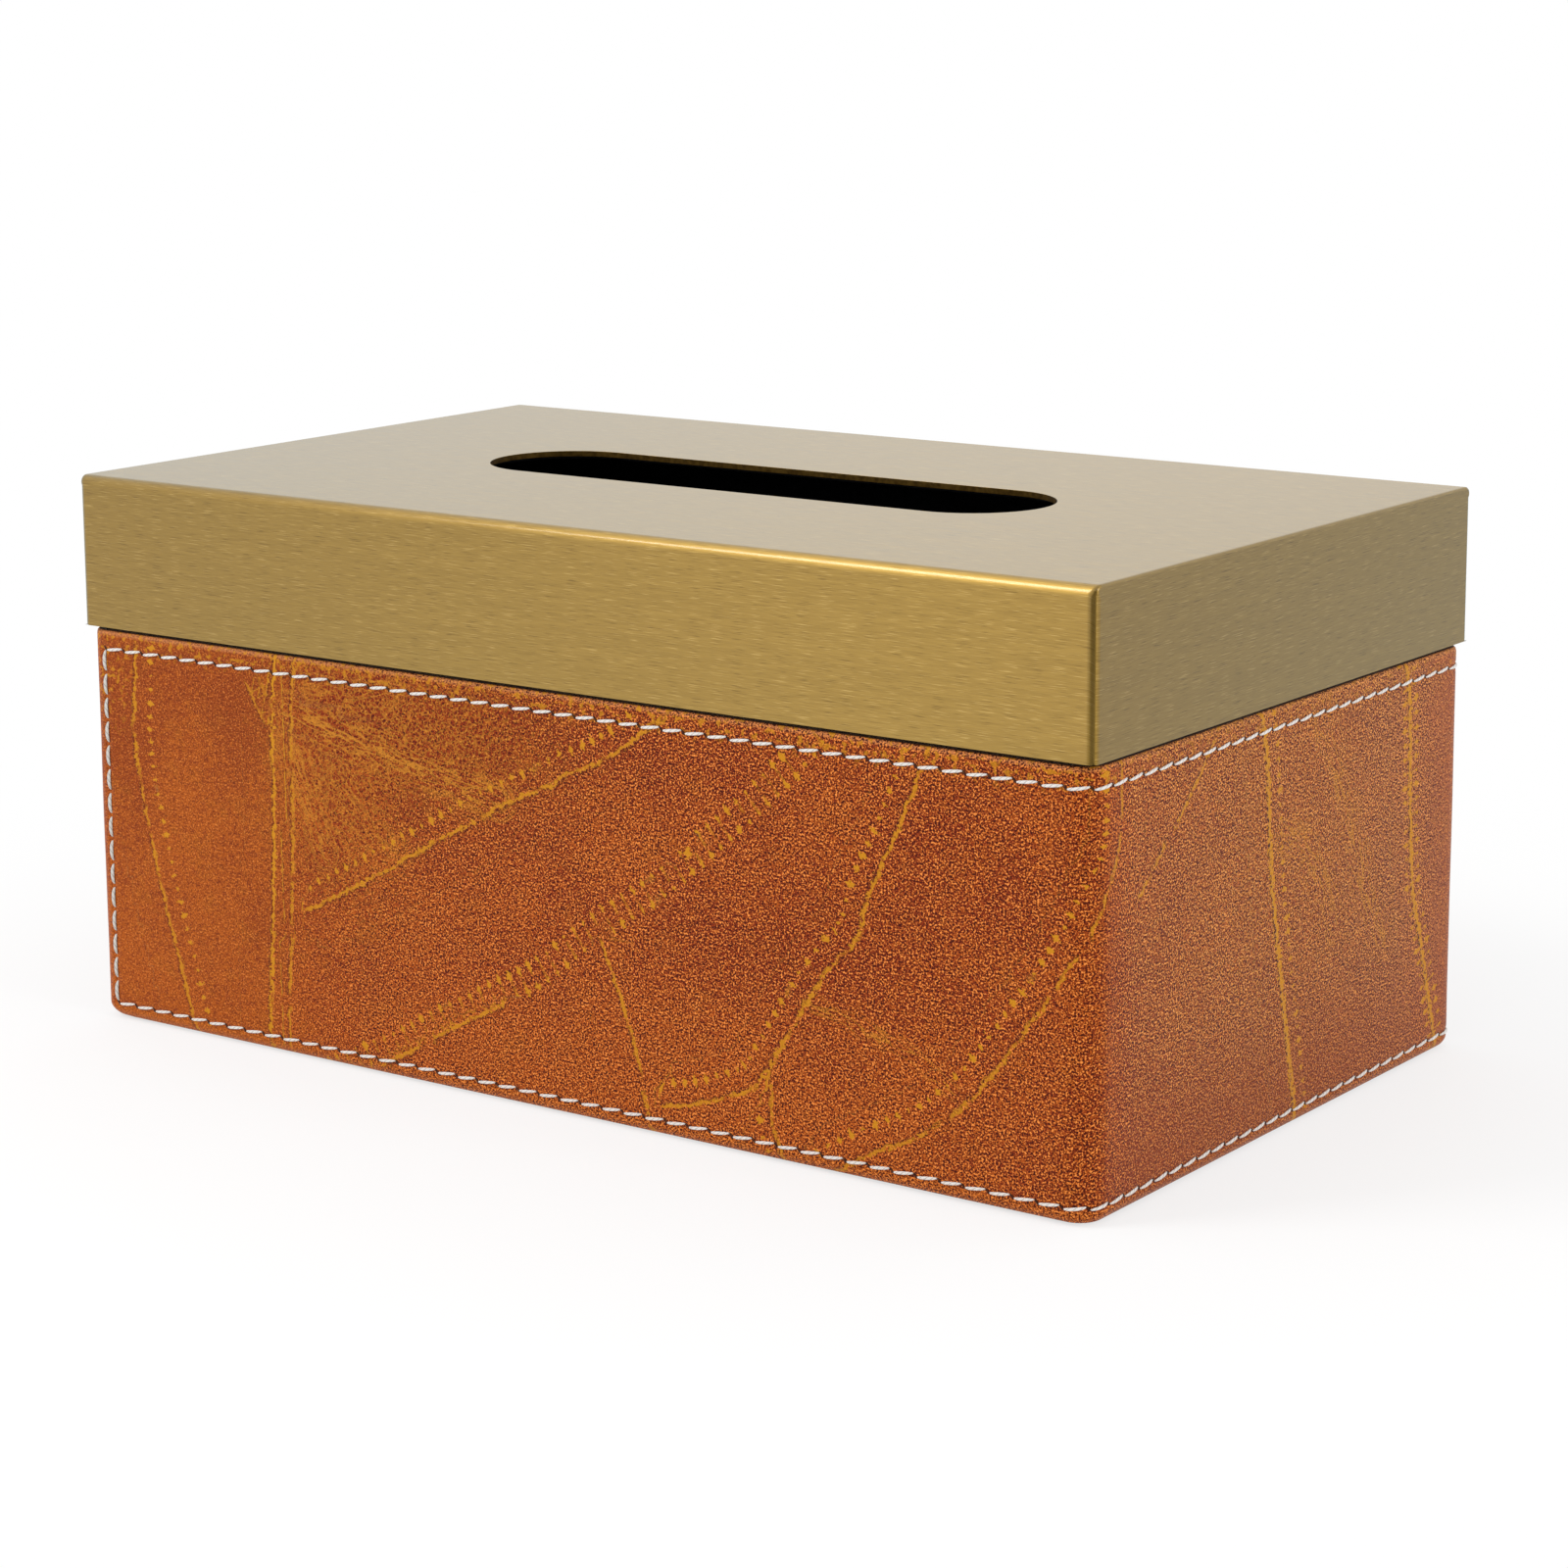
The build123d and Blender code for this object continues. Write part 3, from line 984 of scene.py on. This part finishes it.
fine_grain = desk.noise(place, 2.6, detail=1.0, roughness=0.6, distortion=0.4)
coarse_grain = desk.noise(place, 1.6, detail=2.0, roughness=0.6, distortion=0.8)
grain = desk.blend(desk.times(coarse_share, 0.45), fine_grain, coarse_grain)
contrast = desk.math("MULTIPLY_ADD", grain_depth, 0.45, 0.9)
grain = desk.math("MULTIPLY_ADD", desk.minus(grain, 0.5), contrast, 0.5)
tops = desk.times(desk.step(grain, 0.595, 0.69), grain_depth)
pits = desk.times(desk.step(grain, 0.485, 0.395), grain_depth)
top_tone = desk.mix(coarse_share, TAN, colour(0.62, 0.26, 0.03))
# Painted sheen: on the right end the tops of the grain are painted paler, more so higher up.
grain_tops_painted_sheen = desk.times(right_end, desk.span(desk.step(t, 4.0, 40.0), 0.35, 0.7))
top_tone = desk.mix(grain_tops_painted_sheen, top_tone, colour(0.85, 0.365, 0.085))
skin = desk.lay(ground, top_tone, tops, 0.85)
skin = desk.lay(skin, PIT, pits, 0.9)
# The foot of the right end is darker and redder.
foot_darkening_share = desk.span(desk.step(s, 330.0, 390.0), 0.34, 0.14)
foot_darkening = desk.times(right_end, desk.step(t, 30.0, 6.0), foot_darkening_share)
skin = desk.mix(foot_darkening, skin, colour(0.26, 0.04, 0.004))
pebbles = desk.node("TexVoronoi", {"Vector": place, "Scale": 0.9}, feature="DISTANCE_TO_EDGE")
pebble_edges = desk.step(pebbles.outputs["Distance"], 0.15, 0.03)
veins = desk.times(pebble_edges, desk.step(desk.noise(place, 0.9), 0.36, 0.54), coarse_share)
skin = desk.lay(skin, VEIN, veins, 0.55)

# %% Wrinkles
across, way, wrinkled = desk.split(desk.attribute("wrinkle"))
stretched = desk.node("CombineXYZ", {0: across, 1: desk.times(way, 0.16)}).outputs[0]
fold_noise = desk.noise(stretched, 0.62, detail=1.0, distortion=0.4)
fold_lines = desk.step(desk.away(desk.minus(fold_noise, 0.5)), 0.065, 0.025)
fold_mask = desk.times(fold_lines, wrinkled, desk.step(grain, 0.30, 0.46))
skin = desk.lay(skin, VEIN, fold_mask, 0.72)

# %% [markdown]
# A crease is a jagged line of beads, with a second, thinner strand that leaves it and comes back. Its lower
# side is painted darker, as painted shade of its groove. The prick marks beside it are ragged ticks, one
# every three millimetres, some larger and some smaller. Where two rows of marks run side by side, faint rungs
# join them.

# %% Creases and marks
MARK_PITCH = 2.95
off, along, _ = desk.split(desk.attribute("crease"))
line_share, marks_left, marks_right = desk.split(desk.attribute("crease_look"))
ragged = desk.wander(place, 2.2, 1.2)
jagged = desk.plus(desk.wander(place, 0.4, 1.8), ragged)
line_place = desk.plus(off, jagged)
beads = desk.times(desk.span(desk.noise(place, 1.1, detail=1.0), -0.75, 1.45), line_share)
breaks = desk.step(desk.noise(place, 0.2, detail=1.0), 0.34, 0.47)
breaks = desk.larger(breaks, desk.step(line_share, 0.92, 1.0))
line = desk.step(desk.minus(desk.away(line_place), beads), 0.12, -0.1)
strand_place = desk.plus(line_place, desk.wander(place, 0.22, 3.6))
strand = desk.step(desk.away(strand_place), 0.22, 0.06)
strand = desk.times(strand, desk.step(desk.away(line_place), 1.6, 1.0), 0.7)
line = desk.times(desk.larger(line, strand), desk.math("MINIMUM", line_share, 1.0), breaks)
# Painted shade: a dark line along the crease's lower side, where its groove is shaded.
shade = desk.step(desk.away(desk.plus(line_place, 0.6)), 0.35, 0.05)
shade = desk.times(shade, line_share, breaks)

steps = desk.math("DIVIDE", along, MARK_PITCH)
from_mark = desk.times(desk.minus(desk.math("FRACT", steps), 0.5), MARK_PITCH)
mark_number = desk.math("FLOOR", steps)
luck = desk.node("TexWhiteNoise", {"W": mark_number}, noise_dimensions="1D").outputs["Value"]
mark_size = desk.span(luck, 0.35, 0.9)
frayed = desk.wander(place, 1.8, 2.2)


def prick_marks(off_line, offset):
    """A row of ragged ticks beside a crease, drawn out across it."""
    off_row = desk.plus(desk.minus(off_line, offset), desk.wander(place, 0.4, 1.8))
    tick_length = desk.times(desk.away(off_row), 0.75)
    tick_width = desk.times(desk.away(from_mark), 1.15)
    reach = desk.plus(desk.plus(tick_length, tick_width), frayed)
    mark = desk.step(desk.minus(reach, mark_size), 0.14, -0.12)
    return desk.times(mark, desk.step(offset, 1.0, 2.0))


left_marks = prick_marks(off, marks_left)
right_marks = prick_marks(desk.times(off, -1.0), marks_right)
between_rows = desk.times(
    desk.step(desk.away(off), 2.8, 2.2),
    desk.step(desk.math("MINIMUM", marks_left, marks_right), 1.0, 2.0),
    desk.step(desk.noise(place, 0.5), 0.40, 0.58),
)
rungs = desk.times(between_rows, desk.step(desk.away(from_mark), 0.5, 0.1), 0.45)
marks = desk.larger(left_marks, right_marks)
ochre = desk.larger(line, desk.larger(marks, rungs))
skin = desk.lay(skin, PIT, shade, 0.6)
skin = desk.lay(skin, OCHRE, ochre, 0.92)

# %% [markdown]
# Last come the places that hands and the needle reach: the upper edge is rubbed to ochre in specks, a
# slanting slit opens at each needle hole and is painted near black as painted shade in the hole, and the
# back of the leather is pale and fibrous. The edge that turns in under the lid is painted near black, as
# painted shade in the gap under the lid.

# %% Edge, needle slits and back
PAINTED_SHADE = colour(0.02, 0.006, 0.004)
SEWN_END = STRIP_LENGTH - 2.9


def needle_slits(off_row):
    """Slanting slits, one at each needle hole of a row along the strip."""
    holes = desk.math("DIVIDE", desk.minus(s, END_ROW), PITCH)
    from_hole = desk.times(desk.minus(holes, desk.math("ROUND", holes)), PITCH)
    length_way = desk.times(desk.minus(from_hole, off_row), 0.66)
    width_way = desk.times(desk.plus(from_hole, off_row), 1.5)
    return desk.step(desk.length(length_way, width_way), 0.78, 0.5)


by_seam = desk.times(desk.step(s, 16.0, 7.0), desk.step(t, 58.0, 76.0))
handled = desk.larger(desk.step(t, 78.5, 82.5), by_seam)
rubbed = desk.times(handled, desk.step(desk.noise(place, 0.7, detail=3.0), 0.54, 0.61))
rubbed = desk.times(rubbed, desk.span(right_end, 0.65, 0.3))
skin = desk.mix(rubbed, skin, OCHRE)
# Painted shade: the edge that turns in under the lid is painted near black.
under_lid_shade = desk.step(t, HIGH_START + 0.9, HIGH_START + 1.3)
skin = desk.lay(skin, PAINTED_SHADE, under_lid_shade, 0.9)
# Painted shade in the needle holes: each slit is painted near black.
upper_slits = needle_slits(desk.minus(t, UPPER_ROW))
lower_slits = needle_slits(desk.minus(t, LOWER_ROW))
sewn = desk.step(s, SEWN_END + 0.3, SEWN_END - 0.3)
slits = desk.times(desk.larger(upper_slits, lower_slits), sewn)
skin = desk.lay(skin, PAINTED_SHADE, slits, 0.9)
skin = desk.mix(desk.step(flesh, 0.1, 0.4), skin, colour(0.38, 0.24, 0.14))

height = desk.times(grain, grain_depth, 0.12)
for mask, rise in ((ochre, 0.05), (fold_mask, 0.05), (shade, -0.08), (slits, -0.3)):
    height = desk.math("MULTIPLY_ADD", mask, rise, height)
leather_inputs = {
    "Base Color": skin,
    "Normal": desk.bump(height, 0.6),
    "Roughness": desk.span(grain, 0.66, 0.44),
    "Specular IOR Level": 0.1,
    "Sheen Weight": 0.16,
    "Sheen Roughness": 0.35,
}
desk.feed(shader, leather_inputs)

# %% Strip
strip_piece = make_piece("leather_strip", bm, leather, "case", "leather_wrap")
layers = {"crease": crease, "crease_look": crease_look, "wrinkle": wrinkle, "hide": hide}
for name, values in layers.items():
    layer = strip_piece.data.attributes.new(name, "FLOAT_VECTOR", "POINT")
    layer.data.foreach_set("vector", values.astype(np.float32).ravel())

# %% [markdown]
# ## Stitches
# Each stitch is a short length of waxed thread that comes up through one needle hole and goes down through
# the next. The needle's slanting point turns every stitch a little, so that its left end lies lower than
# its right end. A stitch is a small sphere drawn out into a rod, sunk at both ends, and laid round the case
# by the same function as the leather.

# %% One stitch
STITCH_LENGTH = 4.6
STITCH_WIDTH = 0.66
STITCH_HEIGHT = 0.54
STITCH_LIFT = 0.04
STITCH_DIP = 0.34


def add_stitch(bm, s, t, turn, width, bow):
    """One stitch at a place on the flat strip, turned by an angle and bowed sideways."""
    made = bmesh.ops.create_uvsphere(bm, u_segments=8, v_segments=7, radius=1.0, calc_uvs=True)
    turn = math.radians(turn)
    y, up, x = np.array([vert.co for vert in made["verts"]]).T
    fuller = 1 / np.maximum(np.sqrt(np.clip(1 - x * x, 0, 1)), 0.35) ** 0.3
    along = x * STITCH_LENGTH / 2
    across = y * fuller * width / 2 + bow * (1 - x * x)
    lift = STITCH_LIFT + up * fuller * STITCH_HEIGHT / 2 - STITCH_DIP * x**4
    place_s = s + along * math.cos(turn) - across * math.sin(turn)
    place_t = t + along * math.sin(turn) + across * math.cos(turn)
    for vert, point in zip(made["verts"], wrap_round(place_s, place_t, -lift)):
        vert.co = point


def row_of_stitches(name, places, width, bow, material):
    """One piece for a row of stitches, given as (s, t, turn)."""
    bm = bmesh.new()
    bm.loops.layers.uv.new("ply")
    for s, t, turn in places:
        add_stitch(bm, s, t, turn, width, bow)
    return make_piece(name, bm, material, "case")


# %% [markdown]
# The thread is off-white, twisted from plies that show as slanting lines, and slightly waxy. The rows up
# the strip's ends are sewn by hand with a thicker thread that has gone a little grey.


# %% Thread finish
def thread_finish(name, dark, light):
    """A twisted thread between two tones."""
    material, desk, shader = new_finish(name)
    turns, way, _ = desk.split(desk.node("UVMap", uv_map="ply").outputs[0])
    twist = desk.math("MULTIPLY_ADD", way, 5.0, desk.times(turns, 2.0))
    plies = desk.away(desk.math("SINE", desk.times(twist, math.pi)))
    # Painted shade: the grooves between the plies are painted darker and the ridges lighter.
    tone = desk.toned(plies, 0.0, 0.6, dark, light)
    ridges = desk.bump(desk.times(plies, 0.06), 0.6)
    desk.feed(shader, {"Base Color": tone, "Normal": ridges, "Roughness": 0.55})
    return material


white_thread = thread_finish("waxed_thread", colour(0.44, 0.40, 0.36), colour(0.77, 0.745, 0.71))
grey_thread = thread_finish("grey_thread", colour(0.32, 0.29, 0.25), colour(0.58, 0.56, 0.52))

# %% Rows of stitches
SLANT = 7.5
END_BOW = 0.25
END_STITCH_WIDTH = 1.0
middles = [END_ROW + (number + 0.5) * PITCH for number in range(STITCHES_ROUND)]
middles = [middle for middle in middles if middle < STRIP_LENGTH - END_ROW]
heights = [LOWER_ROW + (number + 0.5) * END_PITCH for number in range(STITCHES_UP)]
for name, row in (("stitches_upper", UPPER_ROW), ("stitches_lower", LOWER_ROW)):
    places = [(middle, row, SLANT) for middle in middles]
    row_of_stitches(name, places, STITCH_WIDTH, 0, white_thread)
near_end = ("stitches_front_end", END_ROW, END_BOW)
far_end = ("stitches_side_end", STRIP_LENGTH - END_ROW, -END_BOW)
for name, station, bow in (near_end, far_end):
    places = [(station, height, 90) for height in heights]
    row_of_stitches(name, places, END_STITCH_WIDTH, bow, grey_thread)

# %% [markdown]
# ## Black cloth
# Cloth with a short nap lines the walls, the floor and the underside of the lid. The wall lining goes up
# the inside, over the rim and down the outside to the leather, so the neck that the lid slips over is black
# too.

# %% Cloth finish
CLOTH = 0.6
black_cloth, desk, shader = new_finish("black_cloth")
place = desk.object_place()
nap = desk.noise(place, 2600.0, detail=3.0, roughness=0.7)
rubs = desk.noise(place, 60.0, detail=3.0)
cloth_tone = desk.blend(0.3, nap, rubs)
cloth_inputs = {
    "Base Color": desk.toned(cloth_tone, 0.3, 0.75, colour(0.004, 0.004, 0.005), colour(0.022, 0.022, 0.025)),
    "Normal": desk.bump(desk.times(nap, 0.15), 0.6),
    "Roughness": 0.95,
    "Specular IOR Level": 0.1,
    "Sheen Weight": 0.15,
    "Sheen Roughness": 0.5,
}
desk.feed(shader, cloth_inputs)

# %% [markdown]
# The wall lining is a ring of cloth. A loop of edges round the inside of the case is laid down, then drawn
# up, over the rim and down again, and the skin is given its thickness.

# %% Wall lining
ARC_STEPS = 6


def ring_of_points(half_x, half_y, radius, z):
    """Corner arcs of a rounded rectangle, in order round it, in metres."""
    points = []
    for turn, (side_x, side_y) in zip((0, 90, 180, 270), ((1, 1), (-1, 1), (-1, -1), (1, -1))):
        for step in range(ARC_STEPS + 1):
            angle = math.radians(turn + 90 / ARC_STEPS * step)
            x = side_x * (half_x - radius) + radius * math.cos(angle)
            y = side_y * (half_y - radius) + radius * math.sin(angle)
            points.append(Vector((x, y, z)) * MM)
    return points


def lay_ring(bm, ring):
    """A closed loop of edges through a ring of points."""
    verts = [bm.verts.new(point) for point in ring]
    return verts, [bm.edges.new((verts[i - 1], verts[i])) for i in range(len(verts))]


def draw_rings(bm, rings):
    """A skin through several rings: the first is laid down, and each next one is drawn out of the last."""
    verts, edges = lay_ring(bm, rings[0])
    for ring in rings[1:]:
        drawn = bmesh.ops.extrude_edge_only(bm, edges=edges)["geom"]
        fresh = {item for item in drawn if isinstance(item, bmesh.types.BMVert)}
        for number, old in enumerate(verts):
            verts[number] = [e.other_vert(old) for e in old.link_edges if e.other_vert(old) in fresh][0]
            verts[number].co = ring[number]
        edges = [e for e in drawn if isinstance(e, bmesh.types.BMEdge) and set(e.verts) <= fresh]


lining_low, lining_high = (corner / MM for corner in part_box("wall_lining"))
CHAMBER_X, CHAMBER_Y, CHAMBER_RADIUS = 117.0, 65.5, 0.5
NECK_RADIUS = 4.3
RIM_ROLL = 1.1
RIM_TURNS = (0, 22.5, 45, 67.5, 90)
NECK_GAP = 0.1


def rim_roll(degrees):
    """How far the cloth has come over the rim after a turn, and how high it lies there."""
    turn = math.radians(degrees)
    return RIM_ROLL * (1 - math.cos(turn)), lining_high.z - RIM_ROLL * (1 - math.sin(turn))


rings = [ring_of_points(CHAMBER_X, CHAMBER_Y, CHAMBER_RADIUS, lining_low.z)]
for degrees in RIM_TURNS:
    over, z = rim_roll(degrees)
    rings.append(ring_of_points(CHAMBER_X + over, CHAMBER_Y + over, CHAMBER_RADIUS + over, z))
for degrees in reversed(RIM_TURNS):
    over, z = rim_roll(degrees)
    rings.append(ring_of_points(lining_high.x - over, lining_high.y - over, NECK_RADIUS - over, z))
rings.append(ring_of_points(lining_high.x, lining_high.y, NECK_RADIUS, wrap_high.z + NECK_GAP))
bm = bmesh.new()
draw_rings(bm, rings)
bmesh.ops.recalc_face_normals(bm, faces=bm.faces)
bmesh.ops.solidify(bm, geom=bm.faces[:], thickness=CLOTH * MM)
wall_cloth = make_piece("wall_cloth", bm, black_cloth, "case", "wall_lining")
walls = ["front_board", "back_board", "left_board", "right_board"]

# %% [markdown]
# The cloth on the floor is a plain rectangle, and the one under the lid has the slot cut out of it, a
# little wider than the metal's slot so that no edge shows from above. An outline is filled and then
# thickened.

# %% Flat cloths
CLOTH_CORNER = 0.5
CLOTH_SLOT = (140.0, 37.0)


def flat_sheet(name, node, material, body, radius, slot_size=None):
    """A sheet laid flat where a CAD node lies, with rounded corners and perhaps a slot."""
    low, high = (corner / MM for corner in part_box(node))
    half = (high - low) / 2
    bm = bmesh.new()
    edges = lay_ring(bm, ring_of_points(half.x, half.y, radius, low.z))[1]
    if slot_size:
        edges += add_slot_outline(bm, *slot_size, low.z)
    bmesh.ops.triangle_fill(bm, edges=edges, use_beauty=True, use_dissolve=False)
    bmesh.ops.reverse_faces(bm, faces=[face for face in bm.faces if face.normal.z > 0])
    bmesh.ops.solidify(bm, geom=bm.faces[:], thickness=(high.z - low.z) * MM)
    return make_piece(name, bm, material, body, node)


floor_cloth = flat_sheet("floor_cloth", "floor_lining", black_cloth, "case", CLOTH_CORNER)
lid_cloth = flat_sheet(
    "lid_cloth", "lid_lining", black_cloth, "lid", CLOTH_CORNER, CLOTH_SLOT
)

# %% [markdown]
# ## Felt and boards
# The case stands on a sheet of pressed felt. The walls, the bottom and the card inside the leather stay as
# the CAD has them, and take a finish of raw pressed fibre.

# %% Felt
FELT_CORNER = 3.0
felt, desk, shader = new_finish("base_felt")
fibres = desk.noise(desk.object_place(), 1400.0, detail=4.0, roughness=0.75, distortion=2.0)
felt_inputs = {
    "Base Color": desk.toned(fibres, 0.3, 0.7, colour(0.008, 0.008, 0.008), colour(0.05, 0.05, 0.05)),
    "Normal": desk.bump(desk.times(fibres, 0.25), 0.7),
    "Roughness": 1.0,
    "Specular IOR Level": 0.05,
}
desk.feed(shader, felt_inputs)
felt_sheet = flat_sheet("felt_sheet", "base_felt", felt, "case", FELT_CORNER)

# %% Boards and card
fibreboard, desk, shader = new_finish("fibreboard")
chips = desk.noise(desk.object_place(), 700.0, detail=4.0, roughness=0.7, distortion=1.0)
board_inputs = {
    "Base Color": desk.toned(chips, 0.3, 0.7, colour(0.16, 0.09, 0.045), colour(0.33, 0.21, 0.11)),
    "Roughness": desk.span(chips, 0.75, 0.95),
    "Normal": desk.bump(desk.times(chips, 0.08), 0.5),
}
desk.feed(shader, board_inputs)
boards = walls + ["bottom_board", "wrap_backing"]
for name in boards:
    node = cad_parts[name]
    node.data.materials.clear()
    node.data.materials.append(fibreboard)
print("boards and card finished:", len(boards))
